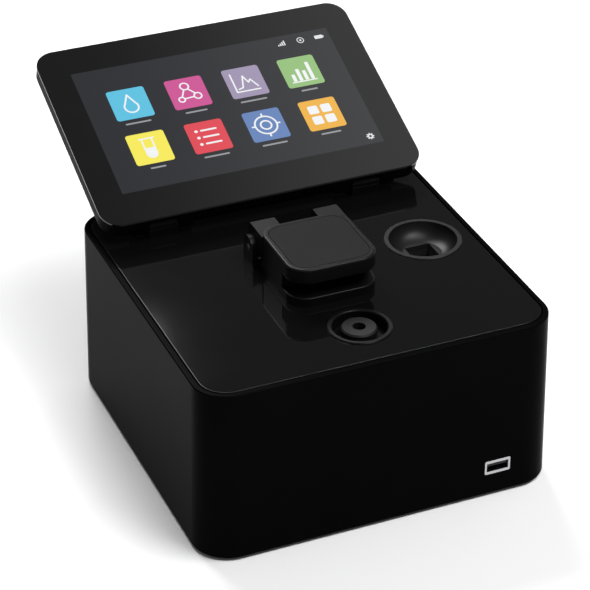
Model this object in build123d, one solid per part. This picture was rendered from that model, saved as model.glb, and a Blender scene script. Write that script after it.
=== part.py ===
from build123d import *
import os
from math import cos, radians, sin, tan

# A bench instrument that measures a drop of liquid under a hinged lid or a cuvette in a well,
# with a tube mixer in its deck and a tilting touch screen at its rear.
# Millimetres. X to the right, Y to the rear, Z up, origin on the bench under the housing's centre.

# Housing
foot_height = 2.0
foot_radius = 9.0
foot_inset = 24.0
base_size = 200.0
base_corner = 20.0
wall_height = 97.8
wall_draft = 1.096
wall = 3.0
rim_width = 3.0
rim_round = 1.0
port_corner = 1.0
deck_gap = 0.9
deck_thickness = 4.0
deck_edge_round = 0.3
ledge_width = 4.0
ledge_thickness = 3.0
base_plate_thickness = 2.0
base_plate_gap = 0.3
post_radius = 6.5
post_inset = 12.0
screw_radius = 1.5
screw_hole_gap = 0.1
screw_length = 12.0
screw_head_radius = 2.8
screw_head_height = 1.5
vent_length = 30.0
vent_width = 2.6
vent_pitch = 7.0
vents_in_row = 7
front_vent_share = -0.2
rear_vent_share = 0.26
foot_chamfer = 0.5

# Sample platform and its window
lid_width = 50.0
lid_front = -37.0
lid_back = 14.0
lid_corner = 11.5
platform_height = 5.0
platform_back = 10.5
platform_back_corner = 2.5
platform_edge_round = 0.7
window_y = -9.0
window_radius = 1.6
window_ring_radius = 5.5
window_ring_rise = 0.5
window_ring_chamfer = 0.4
window_thickness = 2.0
light_guide_radius = 5.4
light_guide_drop = 15.8
light_guide_rise = 1.0

# Lid and its hinge
lid_top = 22.0
lid_slab = 8.7
lid_skirt_front = -21.0
lid_rest_gap = 0.3
lid_wall = 4.0
lid_ceiling = 4.0
lid_edge_round = 1.1
lid_cavity_corner = 4.0
pad_rim = 2.8
pad_gap = 0.35
pad_depth = 1.2
lid_axis_y = 18.0
lid_axis_rise = 9.0
knuckle_radius = 6.5
pin_radius = 2.0
pin_running_gap = 0.06
pin_fixed_gap = 0.03
pin_chamfer = 0.3
hinge_relief = 0.5
arm_inner = 11.1
arm_top = 20.6
arm_reach = 25.2
arm_lean = 1.6
arm_break = 4.0
arm_round = 1.5
arm_root = 8.0
hinge_side_gap = 0.3
ear_thickness = 3.0
hinge_strip = 1.8
hinge_strip_depth = 4.0
hinge_strip_gap = 0.3
mirror_gap = 0.7
mirror_radius = 3.0
mirror_thickness = 1.5
mirror_holder_radius = 6.5
mirror_holder_nose = 4.5
mirror_holder_step = 2.3
mirror_inset = 0.3

# Cuvette station
cuvette_from_deck_side = 26.829
cuvette_y = 2.4
bowl_flange_radius = 21.3
bowl_flange_height = 0.6
bowl_neck_radius = 19.6
bowl_mouth_radius = 18.7
bowl_floor_radius = 10.6
bowl_depth = 8.0
bowl_floor_thickness = 2.5
bowl_swell_in = 2.4
bowl_swell_rise = 3.4
bowl_flange_chamfer = 0.35
deck_hole_gap = 0.15
cuvette_lead_in = 14.6
cuvette_well_size = 12.8
cuvette_well_depth = 46.0
cuvette_block_size = 26.0
cuvette_block_corner = 2.0
beam_height = 15.0
beam_radius = 3.0
lens_tube_wall = 2.0
lens_tube_length = 18.0

# Tube mixer
mixer_offset = 1.6145
bezel_radius = 17.0
bezel_bore = 14.4
bezel_rise = 0.8
bezel_neck_wall = 1.2
mixer_well_depth = 8.0
mixer_floor = 1.5
mixer_floor_hole = 8.0
splash_collar = 1.2
cup_radius = 9.5
cup_rise = -0.2
cup_thickness = 3.3
cup_stem_radius = 6.0
tube_hole_radius = 3.5
tube_hole_straight = 4.5
tube_hole_tip = 1.4
tube_hole_depth = 9.0
orbit = 0.8
cup_edge = 0.8
bezel_edge = 0.5
bearing_radius = 4.2
bearing_end_gap = 0.5
cup_roof = 1.0
crank_pin_radius = 2.5
crank_pin_length = 7.0
rotor_radius = 10.0
rotor_thickness = 5.0
rotor_gap = 1.5
rotor_web = 2.0
rotor_hub_wall = 1.0
motor_shaft_radius = 1.5
motor_radius = 13.0
motor_length = 24.0
motor_round = 1.5
motor_boss_wall = 3.0
shaft_in_motor = 18.0
carriage_length = 52.0
carriage_depth = 36.0
carriage_thickness = 2.5
frame_thickness = 3.0
frame_corner = 4.0
shoulder_gap = 0.05
guide_post_radius = 2.0
guide_shoulder_radius = 3.6
guide_span_x = 42.0
guide_span_y = 26.0
damper_length = 8.0
damper_radius = 4.2
damper_bore_gap = 0.3
slide_gap = 0.08
nut_height = 2.0

# Screen, laid out in its own plane: along the glass from its lower edge, and out of it
screen_side_inset = 5.35
screen_length = 129.2
screen_corner = 11.5
screen_tilt = 21.8
screen_edge_to_axis = 8.25
screen_edge_rise = 14.1
screen_thickness = 12.0
glass_thickness = 1.2
glass_chamfer = 0.3
case_inset = 0.25
case_back_round = 4.0
pocket_side_wall = 12.65
pocket_end_walls = 29.2
pocket_start = 15.0
pocket_floor = 2.6
pocket_corner = 3.0
panel_gap = 1.0
panel_thickness = 5.0
screen_board_side_gap = 21.0
screen_board_end_gap = 14.0
screen_post_radius = 3.0
screen_post_inset = 5.0
screen_vents = 11
screen_vent_length = 24.0
screen_vent_width = 2.0
screen_vent_pitch = 6.0
board_thickness = 1.6
screen_axis_from_back = 35.0
screen_axis_rise = 6.0
barrel_radius = 4.5
barrel_end_wall = 1.5
screen_pin_radius = 2.0
screen_hinge_inset = 34.65
bracket_width = 16.4
bracket_depth = 8.0
bracket_flange_width = 32.0
bracket_flange_depth = 20.0
bracket_flange_thickness = 2.6
knuckle_length = 8.5
knuckle_gap = 0.3
notch_height = 11.0
notch_depth = 8.5

# Sockets and the power button
usb_a_from_side = 35.2
usb_a_rise = 15.95
usb_a_width = 13.2
usb_a_height = 5.8
usb_a_lip_width = 14.8
usb_a_lip_height = 8.4
usb_a_depth = 17.0
usb_cut_gap = 0.3
usb_a_inset = 0.5
usb_a_lip = 0.5
usb_a_lip_corner = 0.9
usb_a_tongue_width = 11.2
usb_a_tongue_height = 1.8
usb_a_tongue_rise = 0.2
usb_a_block = 4.0
usb_board_width = 32.0
usb_board_length = 28.0
usb_post_radius = 2.5
usb_post_reach = 12.0
sheet = 0.35
mainboard_rise = 8.0
# the rear sockets, the button and the mainboard keep their share of the housing's width
dc_share = -0.15
dc_body_width = 9.0
dc_body_length = 12.0
dc_body_height = 11.0
dc_axis_rise = 6.0
dc_nose_radius = 4.0
dc_bore_radius = 2.8
dc_bore_depth = 7.0
dc_pin_radius = 1.0
usb_b_share = -0.02
usb_b_width = 12.0
usb_b_height = 10.8
usb_b_length = 13.0
usb_b_opening = (8.4, 7.8)
usb_b_tongue = (5.6, 3.2)
usb_b_depth = 8.0
lan_share = 0.13
lan_width = 16.0
lan_height = 13.4
lan_length = 17.0
lan_opening = (11.8, 6.8)
lan_opening_rise = 3.4
lan_latch = (6.0, 2.0)
lan_depth = 12.0
socket_face_inset = 0.3
socket_wall_gap = 0.4
socket_cut_gap = 0.25
button_share = -0.31
button_rise = 16.0
button_radius = 6.0
button_running_gap = 0.08
button_proud = 0.9
button_travel = 1.2
button_flange_radius = 7.4
button_flange_thickness = 2.0
button_edge_round = 0.5
button_stem_radius = 2.5
button_stem_length = 3.0
switch_size = 14.0
switch_height = 12.0
switch_length = 8.0
switch_bracket_width = 16.0
switch_bracket_foot = 14.0
bracket_sheet = 1.5

# Inside
bench_rise = 42.0
bench_thickness = 4.0
bench_side_gap = 12.0
bench_front_lip = 4.0
bench_back_gap = 24.0
bench_corner = 6.0
pillar_radius = 4.0
pillar_side_inset = 10.0
pillar_row_inset = 8.0
fibre_radius = 1.2
fibre_pitch = 5.0
fibre_bend = 14.0
fibre_fit = 0.05
fibre_seat = 10.0
fibre_end = 3.0
fibre_hold = 4.0
fibre_run = 3.4
fibre_overlap = 8.0
mainboard_left_share = -0.24
mainboard_right_share = 0.3
mainboard_front_share = 0.04
mainboard_back_gap = 2.6
standoff_radius = 3.0
standoff_inset = 6.0
standoff_back_inset = 22.0
heat_sink_size = 28.0
heat_sink_height = 6.0
heat_sink_from_front = 34.0
chip_size = 16.0
chip_height = 1.6
choke_width = 16.0
choke_depth = 10.0
choke_height = 9.0
capacitor_radius = 4.0
capacitor_height = 11.0
battery_width = 72.0
battery_height = 20.0
battery_corner = 3.0
battery_side_gap = 22.0
battery_front_gap = 15.0
battery_pillar_gap = 1.0
strap_width = 12.0
strap_slack = 1.5
strap_foot = 9.0
lamp_width = 34.0
lamp_bench_gap = 6.6
lamp_height = 17.0
lamp_radius = 9.0
lamp_seat = 9.0
lamp_tail = 3.0
lamp_front_wall = 5.0
lamp_slots = 5
lamp_slot_width = 3.0
lamp_slot_depth = 1.6
lamp_port_drop = 3.0
spectrometer_left_share = -0.42
spectrometer_right_share = -0.12
spectrometer_back_share = 0.18
spectrometer_front_wall = 6.0
spectrometer_height = 28.0
spectrometer_wall = 3.0
spectrometer_floor = 4.0
spectrometer_lid = 2.5
spectrometer_port_rise = 12.0
mirror_plate = (5.0, 22.0, 20.0)
mirror_plate_inset = 10.0
mirror_plate_turn = 20.0
grating_plate = (6.0, 18.0, 18.0)
grating_inset = 14.0
grating_turn = -35.0
sensor_length = 28.0
sensor_end_gap = 5.0

# Places worked out from the sizes above
deck_z = foot_height + wall_height
draft_slope = tan(radians(wall_draft))
top_size = base_size - 2 * wall_height * draft_slope
recess_size = top_size - 2 * rim_width
top_corner = base_corner - wall_height * draft_slope
deck_size = recess_size - 2 * deck_gap
deck_corner = top_corner - rim_width - deck_gap
deck_under = deck_z - deck_thickness
plate_top = foot_height + base_plate_thickness
platform_z = deck_z + platform_height
lid_z = deck_z + lid_top
slab_z = lid_z - lid_slab
lid_middle_y = (lid_front + lid_back) / 2
lid_axis_z = deck_z + lid_axis_rise
bench_z = plate_top + bench_rise
bench_top = bench_z + bench_thickness
board_z = plate_top + mainboard_rise
board_top = board_z + board_thickness
mixer_y = (lid_front - deck_size / 2) / 2 + mixer_offset
cuvette_x = deck_size / 2 - cuvette_from_deck_side
cuvette_fibre_start = cuvette_y - cuvette_block_size / 2 + fibre_hold
cuvette_fibre_y = cuvette_fibre_start - fibre_bend - fibre_run
spectrometer_front = cuvette_fibre_y - spectrometer_front_wall
bench_width = base_size - 2 * bench_side_gap
bench_front = spectrometer_front - bench_front_lip
bench_back = base_size / 2 - bench_back_gap
screen_width = base_size - 2 * screen_side_inset
screen_axis_y = base_size / 2 - screen_axis_from_back
screen_edge_y = screen_axis_y - screen_edge_to_axis
screen_hinge_x = screen_width / 2 - screen_hinge_inset
pocket_width = screen_width - 2 * pocket_side_wall
pocket_length = screen_length - pocket_end_walls
panel_width = pocket_width - 2 * panel_gap
panel_length = pocket_length - 2 * panel_gap
screen_board_width = panel_width - 2 * screen_board_side_gap
screen_board_length = panel_length - 2 * screen_board_end_gap
usb_a_x = base_size / 2 - usb_a_from_side
usb_a_z = foot_height + usb_a_rise
dc_x = dc_share * base_size
dc_z = board_top + dc_axis_rise
usb_b_x = usb_b_share * base_size
lan_x = lan_share * base_size
button_x = button_share * base_size
button_z = foot_height + button_rise
bottom = (Align.CENTER, Align.CENTER, Align.MIN)
os.makedirs("parts", exist_ok=True)


def save(name, *solids):
    shape = solids[0] if len(solids) == 1 else Compound(children=list(solids))
    export_step(shape, f"parts/{name}.step")


def wall_y(z, inset=0.0):
    # distance of the drafted wall from the middle at a height
    return base_size / 2 - (z - foot_height) * draft_slope - inset


def prism(width, depth, height, corner, x=0.0, y=0.0, z=0.0):
    return Pos(x, y, z) * extrude(RectangleRounded(width, depth, corner), height)


def block(x0, x1, y0, y1, z0, z1):
    middle = Pos((x0 + x1) / 2, (y0 + y1) / 2, (z0 + z1) / 2)
    return middle * Box(x1 - x0, y1 - y0, z1 - z0)


def rod_z(radius, z0, z1, x=0.0, y=0.0):
    return Pos(x, y, z0) * Cylinder(radius, z1 - z0, align=bottom)


def rod_x(radius, x0, x1, y, z):
    return Pos(x0, y, z) * Rot(0, 90, 0) * Cylinder(radius, x1 - x0, align=bottom)


def rod_y(radius, y0, y1, x, z):
    return Pos(x, y0, z) * Rot(-90, 0, 0) * Cylinder(radius, y1 - y0, align=bottom)


def turned(points, x, y):
    # a solid of revolution about a vertical line, from radius and height points
    face = make_face(Polyline(*[(r, 0, z) for r, z in points], close=True))
    return Pos(x, y, 0) * revolve(face, Axis.Z)


def four(dx, dy):
    return [(dx, dy), (-dx, dy), (-dx, -dy), (dx, -dy)]


# Housing shell: drafted walls, rim, ledge for the deck, screw posts and port cut-outs

def make_housing():
    footprint = RectangleRounded(base_size, base_size, base_corner)
    body = Pos(0, 0, foot_height) * extrude(footprint, wall_height, taper=wall_draft)
    body = fillet(body.faces().sort_by(Axis.Z)[-1].edges(), rim_round)
    inner = base_size - 2 * wall
    ledge_z = deck_under - ledge_thickness
    inner_footprint = RectangleRounded(inner, inner, base_corner - wall)
    hollow = extrude(inner_footprint, ledge_z - foot_height, taper=wall_draft)
    body -= Pos(0, 0, foot_height) * hollow
    recess_corner = top_corner - rim_width
    body -= prism(recess_size, recess_size, deck_thickness + 1, recess_corner, z=deck_under)
    window = recess_size - 2 * ledge_width
    body -= prism(window, window, ledge_thickness + 2, recess_corner - ledge_width, z=ledge_z - 1)
    post = base_size / 2 - post_inset
    for x, y in four(post, post):
        body += rod_z(post_radius, plate_top, ledge_z, x, y)
        body -= rod_z(screw_radius + screw_hole_gap, plate_top - 1, plate_top + screw_length + 2, x, y)
    body -= usb_a_cut()
    for cut in rear_cuts():
        body -= cut
    return body


def usb_a_cut():
    z = foot_height + usb_a_rise
    half_width = usb_a_lip_width / 2 + usb_cut_gap
    half_height = usb_a_lip_height / 2 + usb_cut_gap
    cut = block(usb_a_x - half_width, usb_a_x + half_width, -base_size / 2 - 1, -wall_y(z, 2 * wall),
                z - half_height, z + half_height)
    return fillet(cut.edges().filter_by(Axis.Y), port_corner)


def rear_cuts():
    inside = wall_y(deck_z, 2 * wall)
    outside = base_size / 2 + 1
    gap = socket_cut_gap
    return [
        rod_y(dc_nose_radius + gap, inside, outside, dc_x, dc_z),
        block(usb_b_x - usb_b_width / 2 - gap, usb_b_x + usb_b_width / 2 + gap, inside, outside,
              board_top - gap, board_top + usb_b_height + gap),
        block(lan_x - lan_width / 2 - gap, lan_x + lan_width / 2 + gap, inside, outside,
              board_top - gap, board_top + lan_height + gap),
        rod_y(button_radius + button_running_gap, inside, outside, button_x, button_z),
    ]


# Deck plate with the holes for what stands in it

def make_deck():
    deck = prism(deck_size, deck_size, deck_thickness, deck_corner, z=deck_under)
    deck = fillet(deck.faces().sort_by(Axis.Z)[-1].edges(), deck_edge_round)
    low, high = deck_under - 1, deck_z + 1
    deck -= rod_z(bezel_bore + bezel_neck_wall + deck_hole_gap, low, high, 0, mixer_y)
    deck -= rod_z(bowl_neck_radius + deck_hole_gap, low, high, cuvette_x, cuvette_y)
    deck -= rod_z(light_guide_radius + deck_hole_gap, low, high, 0, window_y)
    for side in (-1, 1):
        slot_width = bracket_width + 2 * knuckle_gap
        slot_depth = bracket_depth + 2 * knuckle_gap
        deck -= prism(slot_width, slot_depth, deck_thickness + 2, port_corner,
                      side * screen_hinge_x, screen_axis_y, low)
    return deck


# Base: sheet plate with vents, rubber feet and countersunk screws

def make_base():
    size = base_size - 2 * wall - 2 * base_plate_gap - 2 * base_plate_thickness * draft_slope
    plate = prism(size, size, base_plate_thickness, base_corner - wall - base_plate_gap, z=foot_height)
    post = base_size / 2 - post_inset
    for x, y in four(post, post):
        plate -= rod_z(screw_radius + screw_hole_gap, foot_height - 1, plate_top + 1, x, y)
        plate -= Pos(x, y, foot_height) * Cone(
            screw_head_radius + screw_hole_gap, screw_radius + screw_hole_gap, screw_head_height, align=bottom)
    start = -(vents_in_row - 1) / 2 * vent_pitch
    for row_y in (front_vent_share * base_size, rear_vent_share * base_size):
        for i in range(vents_in_row):
            slot = extrude(SlotOverall(vent_length, vent_width, rotation=90), base_plate_thickness + 2)
            plate -= Pos(start + i * vent_pitch, row_y, foot_height - 1) * slot
    save("base_plate", plate)
    place = base_size / 2 - foot_inset
    feet = []
    for x, y in four(place, place):
        foot = rod_z(foot_radius, 0, foot_height, x, y)
        feet.append(chamfer(foot.faces().sort_by(Axis.Z)[0].edges(), foot_chamfer))
    save("rubber_feet", *feet)
    screws = []
    for x, y in four(post, post):
        head = Pos(x, y, foot_height) * Cone(screw_head_radius, screw_radius, screw_head_height, align=bottom)
        shank = rod_z(screw_radius, foot_height + screw_head_height, plate_top + screw_length, x, y)
        screws.append(head + shank)
    save("base_screws", *screws)


# Sample platform, its window and the light guide under it

def make_sample_station():
    outline = prism(lid_width, lid_back - lid_front, platform_height, lid_corner, 0, lid_middle_y, deck_z)
    half = lid_width / 2
    front = outline & block(-half, half, lid_front, 0, deck_z, platform_z)
    rear = block(-half, half, 0, platform_back, deck_z, platform_z)
    rear = fillet(rear.edges().filter_by(Axis.Z).group_by(Axis.Y)[-1], platform_back_corner)
    platform = front + rear
    platform = fillet(platform.faces().sort_by(Axis.Z)[-1].edges(), platform_edge_round)
    platform -= rod_z(window_ring_radius, deck_z - 1, platform_z + 1, 0, window_y)
    save("sample_platform", platform)
    ring_top = platform_z + window_ring_rise
    guide_top = deck_z + light_guide_rise
    edge = window_ring_chamfer
    outer = window_ring_radius
    ring = turned([(window_radius, guide_top), (outer, guide_top), (outer, ring_top - edge),
                   (outer - edge, ring_top), (window_radius, ring_top)], 0, window_y)
    save("window_ring", ring)
    save("sample_window", rod_z(window_radius, ring_top - window_thickness, ring_top, 0, window_y))
    guide_low = deck_z - light_guide_drop
    guide = rod_z(light_guide_radius, guide_low, guide_top, 0, window_y)
    for side in (-1, 1):
        x = side * fibre_pitch / 2
        guide -= rod_z(fibre_radius + fibre_fit, guide_low - 1, guide_low + fibre_seat, x, window_y)
    save("light_guide_holder", guide)
    return guide_low


# Lid: slab with a finger gap under its front, a skirt behind that, and two arms down to the hinge

def arm_profile():
    knuckle_back = lid_axis_y + knuckle_radius
    top = deck_z + arm_top
    start = lid_back - arm_root
    low = lid_axis_z - pin_radius
    side = Polyline((start, low), (start, top), (arm_reach - arm_lean, top), (arm_reach, top - arm_break),
                    (knuckle_back, lid_axis_z), (lid_axis_y, low), close=True)
    return make_face(side)


def make_lid():
    outline = prism(lid_width, lid_back - lid_front, lid_slab, lid_corner, 0, lid_middle_y, slab_z)
    slab = fillet(outline.faces().sort_by(Axis.Z)[-1].edges(), lid_edge_round)
    slab = fillet(slab.faces().sort_by(Axis.Z)[0].edges(), lid_edge_round)
    half = lid_width / 2
    skirt_z = platform_z + lid_rest_gap
    skirt = prism(lid_width, lid_back - lid_front, slab_z - skirt_z + 3, lid_corner, 0, lid_middle_y, skirt_z)
    skirt &= block(-half, half, lid_skirt_front, lid_back, skirt_z, lid_z)
    lid = slab + skirt
    for side in (-1, 1):
        x0, x1 = sorted((side * arm_inner, side * half))
        arm = extrude(Plane.YZ.offset(x0) * arm_profile(), x1 - x0)
        back_edges = arm.edges().filter_by(Axis.X).sort_by(Axis.Z)[-2:]
        arm = fillet(back_edges.sort_by(Axis.Y)[-1:], arm_round)
        lid += arm
        lid += rod_x(knuckle_radius, x0, x1, lid_axis_y, lid_axis_z)
    hole = pin_radius + pin_running_gap
    lid -= rod_x(hole, -half - 1, half + 1, lid_axis_y, lid_axis_z)
    relief = knuckle_radius + hinge_relief
    lid -= rod_x(relief, -arm_inner, arm_inner, lid_axis_y, lid_axis_z)
    lid -= block(-arm_inner, arm_inner, lid_axis_y - relief, lid_axis_y, skirt_z - 1, lid_axis_z)
    cavity_y = (lid_skirt_front + lid_wall + lid_back - 2 * lid_wall) / 2
    cavity_depth = lid_back - 2 * lid_wall - lid_skirt_front - lid_wall
    lid -= prism(lid_width - 2 * lid_wall, cavity_depth, lid_z - lid_ceiling - skirt_z + 1, lid_cavity_corner,
                 0, cavity_y, skirt_z - 1)
    pad_width = lid_width - 2 * pad_rim
    pad_length = lid_back - lid_front - 2 * pad_rim
    pad_corner = lid_corner - pad_rim
    lid -= prism(pad_width, pad_length, pad_depth + 1, pad_corner, 0, lid_middle_y, lid_z - pad_depth)
    save("lid_shell", lid)
    pad = prism(pad_width - 2 * pad_gap, pad_length - 2 * pad_gap, pad_depth, pad_corner - pad_gap,
                0, lid_middle_y, lid_z - pad_depth)
    save("lid_pad", pad)
    mirror_low = platform_z + window_ring_rise + mirror_gap
    mirror_high = mirror_low + mirror_thickness
    holder_top = lid_z - lid_ceiling
    holder = turned([(0, mirror_high), (mirror_radius, mirror_high), (mirror_radius, mirror_low + mirror_inset),
                     (mirror_holder_nose, mirror_low + mirror_inset),
                     (mirror_holder_radius, mirror_low + mirror_holder_step),
                     (mirror_holder_radius, holder_top), (0, holder_top)], 0, window_y)
    save("lid_mirror_holder", holder)
    save("lid_mirror", rod_z(mirror_radius, mirror_low, mirror_high, 0, window_y))


def make_lid_hinge():
    half = lid_width / 2
    ear_in = half + hinge_side_gap
    ear_out = ear_in + ear_thickness
    middle = arm_inner - hinge_side_gap
    strip_front = platform_back + hinge_strip_gap
    strip_back = strip_front + hinge_strip_depth
    base = block(-ear_out, ear_out, strip_front, strip_back, deck_z, deck_z + hinge_strip)
    for x0, x1 in ((-ear_out, -ear_in), (-middle, middle), (ear_in, ear_out)):
        foot_y0 = lid_axis_y - knuckle_radius
        base += block(x0, x1, foot_y0, lid_axis_y + knuckle_radius, deck_z, lid_axis_z)
        base += rod_x(knuckle_radius, x0, x1, lid_axis_y, lid_axis_z)
    base -= rod_x(pin_radius + pin_fixed_gap, -ear_out - 1, ear_out + 1, lid_axis_y, lid_axis_z)
    save("lid_hinge_base", base)
    pin = rod_x(pin_radius, -ear_out, ear_out, lid_axis_y, lid_axis_z)
    save("lid_hinge_pin", chamfer(pin.edges().filter_by(GeomType.CIRCLE), pin_chamfer))


# Cuvette bowl in the deck, and the block with the square well and the beam holes under it

def make_cuvette_station():
    floor_z = deck_z - bowl_depth
    under_z = floor_z - bowl_floor_thickness
    top_z = deck_z + bowl_flange_height
    bowl = rod_z(bowl_neck_radius, under_z, deck_z, cuvette_x, cuvette_y)
    flange = rod_z(bowl_flange_radius, deck_z, top_z, cuvette_x, cuvette_y)
    bowl += chamfer(flange.faces().sort_by(Axis.Z)[-1].edges(), bowl_flange_chamfer)
    swell = (bowl_mouth_radius - bowl_swell_in, 0, floor_z + bowl_swell_rise)
    side = ThreePointArc((bowl_floor_radius, 0, floor_z), swell, (bowl_mouth_radius, 0, top_z))
    rest = Polyline((bowl_mouth_radius, 0, top_z), (bowl_mouth_radius, 0, top_z + 1), (0, 0, top_z + 1),
                    (0, 0, floor_z), (bowl_floor_radius, 0, floor_z))
    bowl -= Pos(cuvette_x, cuvette_y, 0) * revolve(make_face([side, rest]), Axis.Z)
    wide = Pos(cuvette_x, cuvette_y, floor_z) * Rectangle(cuvette_lead_in, cuvette_lead_in)
    narrow = Pos(cuvette_x, cuvette_y, under_z) * Rectangle(cuvette_well_size, cuvette_well_size)
    bowl -= loft([narrow, wide])
    save("cuvette_cup", bowl)
    well_z = floor_z - (cuvette_well_depth - bowl_depth)
    half = cuvette_block_size / 2
    body = prism(cuvette_block_size, cuvette_block_size, under_z - bench_top, cuvette_block_corner,
                 cuvette_x, cuvette_y, bench_top)
    well = cuvette_well_size / 2
    body -= block(cuvette_x - well, cuvette_x + well, cuvette_y - well, cuvette_y + well, well_z, under_z + 1)
    beam_z = well_z + beam_height
    body -= rod_y(beam_radius, cuvette_y, cuvette_y + half + 1, cuvette_x, beam_z)
    body -= rod_y(fibre_radius + fibre_fit, cuvette_y - half - 1, cuvette_y, cuvette_x, beam_z)
    save("cuvette_block", body)
    lamp_front = cuvette_y + half + lens_tube_length
    tube = rod_y(beam_radius + lens_tube_wall, cuvette_y + half, lamp_front, cuvette_x, beam_z)
    tube -= rod_y(beam_radius, cuvette_y + half - 1, lamp_front + 1, cuvette_x, beam_z)
    save("lens_tube", tube)
    return beam_z, lamp_front


# Tube mixer: bezel with a well, sprung carriage with a motor, rotor with a crank pin, orbiting cup

def make_mixer():
    neck = bezel_bore + bezel_neck_wall
    floor_z = deck_z - mixer_well_depth + mixer_floor
    frame_top = floor_z - mixer_floor
    bezel_top = deck_z + bezel_rise
    hole = mixer_floor_hole
    bezel = turned([
        (hole, frame_top), (neck, frame_top), (neck, deck_z), (bezel_radius, deck_z),
        (bezel_radius, bezel_top - bezel_edge), (bezel_radius - bezel_edge, bezel_top),
        (bezel_bore + bezel_edge, bezel_top), (bezel_bore, bezel_top - bezel_edge), (bezel_bore, floor_z),
        (hole + splash_collar, floor_z), (hole + splash_collar, floor_z + splash_collar),
        (hole, floor_z + splash_collar)], 0, mixer_y)
    save("mixer_bezel", bezel)

    # the cup stands one orbit radius behind the rotor's axis
    cup_y = mixer_y + orbit
    cup_top = deck_z + cup_rise
    cup_under = cup_top - cup_thickness
    rotor_top = cup_top - tube_hole_depth - cup_roof - bearing_end_gap - crank_pin_length
    stem_low = rotor_top + rotor_gap
    pin_top = rotor_top + crank_pin_length
    bearing_top = pin_top + bearing_end_gap
    cup = turned([
        (bearing_radius, stem_low), (cup_stem_radius, stem_low), (cup_stem_radius, cup_under),
        (cup_radius, cup_under), (cup_radius, cup_top - cup_edge), (cup_radius - cup_edge, cup_top),
        (tube_hole_radius, cup_top), (tube_hole_radius, cup_top - tube_hole_straight),
        (tube_hole_tip, cup_top - tube_hole_depth), (0, cup_top - tube_hole_depth),
        (0, bearing_top), (bearing_radius, bearing_top)], 0, cup_y)
    save("mixer_cup", cup)
    bearing = rod_z(bearing_radius, stem_low, bearing_top, 0, cup_y)
    bearing -= rod_z(crank_pin_radius + pin_running_gap, stem_low - 1, pin_top + 1, 0, cup_y)
    save("cup_bearing", bearing)

    rotor_low = rotor_top - rotor_thickness
    carriage_top = rotor_low - rotor_gap
    carriage_low = carriage_top - carriage_thickness
    rotor = rod_z(rotor_radius, rotor_low, rotor_top, 0, mixer_y)
    balance_cut = rod_z(rotor_radius + 1, rotor_low + rotor_web, rotor_top, 0, mixer_y)
    light_side = mixer_y + orbit + crank_pin_radius + rotor_hub_wall
    span = 2 * rotor_radius
    balance_cut &= block(-span, span, light_side, light_side + span, rotor_low, rotor_top)
    rotor -= balance_cut
    rotor += rod_z(crank_pin_radius, rotor_top - 1, pin_top, 0, cup_y)
    shaft_low = carriage_low - shaft_in_motor
    rotor += rod_z(motor_shaft_radius, shaft_low, rotor_low + 1, 0, mixer_y)
    save("mixer_rotor", rotor)

    motor = rod_z(motor_radius, carriage_low - motor_length, carriage_low, 0, mixer_y)
    motor = fillet(motor.faces().sort_by(Axis.Z)[0].edges(), motor_round)
    boss = motor_shaft_radius + motor_boss_wall
    motor += rod_z(boss, carriage_low, carriage_top, 0, mixer_y)
    motor -= rod_z(motor_shaft_radius + pin_running_gap, shaft_low - 0.5, carriage_top + 1, 0, mixer_y)
    save("mixer_motor", motor)
    plate = prism(carriage_length, carriage_depth, carriage_thickness, frame_corner, 0, mixer_y, carriage_low)
    plate -= rod_z(boss, carriage_low - 1, carriage_top + 1, 0, mixer_y)
    posts = [(x, mixer_y + y) for x, y in four(guide_span_x / 2, guide_span_y / 2)]
    for x, y in posts:
        plate -= rod_z(guide_post_radius + slide_gap, carriage_low - 1, carriage_top + 1, x, y)
    save("mixer_carriage", plate)

    frame_low = frame_top - frame_thickness
    post_low = carriage_low - damper_length
    frame = prism(carriage_length, carriage_depth, frame_thickness, frame_corner, 0, mixer_y, frame_low)
    frame -= rod_z(mixer_floor_hole, frame_low - 1, frame_top + 1, 0, mixer_y)
    shoulder_low = carriage_top + shoulder_gap
    nuts, dampers = [], []
    for x, y in posts:
        frame += rod_z(guide_shoulder_radius, frame_top, deck_under, x, y)
        frame += rod_z(guide_shoulder_radius, shoulder_low, frame_low, x, y)
        frame += rod_z(guide_post_radius, post_low - nut_height, shoulder_low, x, y)
        nut_low = post_low - nut_height
        nut = Pos(x, y, nut_low) * extrude(RegularPolygon(damper_radius, 6), nut_height)
        nuts.append(nut - rod_z(guide_post_radius, nut_low - 1, post_low + 1, x, y))
        damper = rod_z(damper_radius, post_low, carriage_low, x, y)
        bore = guide_post_radius + damper_bore_gap
        dampers.append(damper - rod_z(bore, post_low - 1, carriage_low + 1, x, y))
    save("mixer_frame", frame)
    save("post_nuts", *nuts)
    save("mixer_dampers", *dampers)


# Screen: everything below is drawn in the plane of the glass, then set on the tilted plane

tilt = radians(screen_tilt)
glass_plane = Plane(
    origin=(0, screen_edge_y, deck_z + screen_edge_rise), x_dir=(1, 0, 0), z_dir=(0, -sin(tilt), cos(tilt)))
axis_dy = screen_axis_y - screen_edge_y
axis_dz = screen_axis_rise - screen_edge_rise
axis_along = axis_dy * cos(tilt) + axis_dz * sin(tilt)
axis_out = axis_dz * cos(tilt) - axis_dy * sin(tilt)


def on_screen(shape):
    return glass_plane.location * shape


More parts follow.
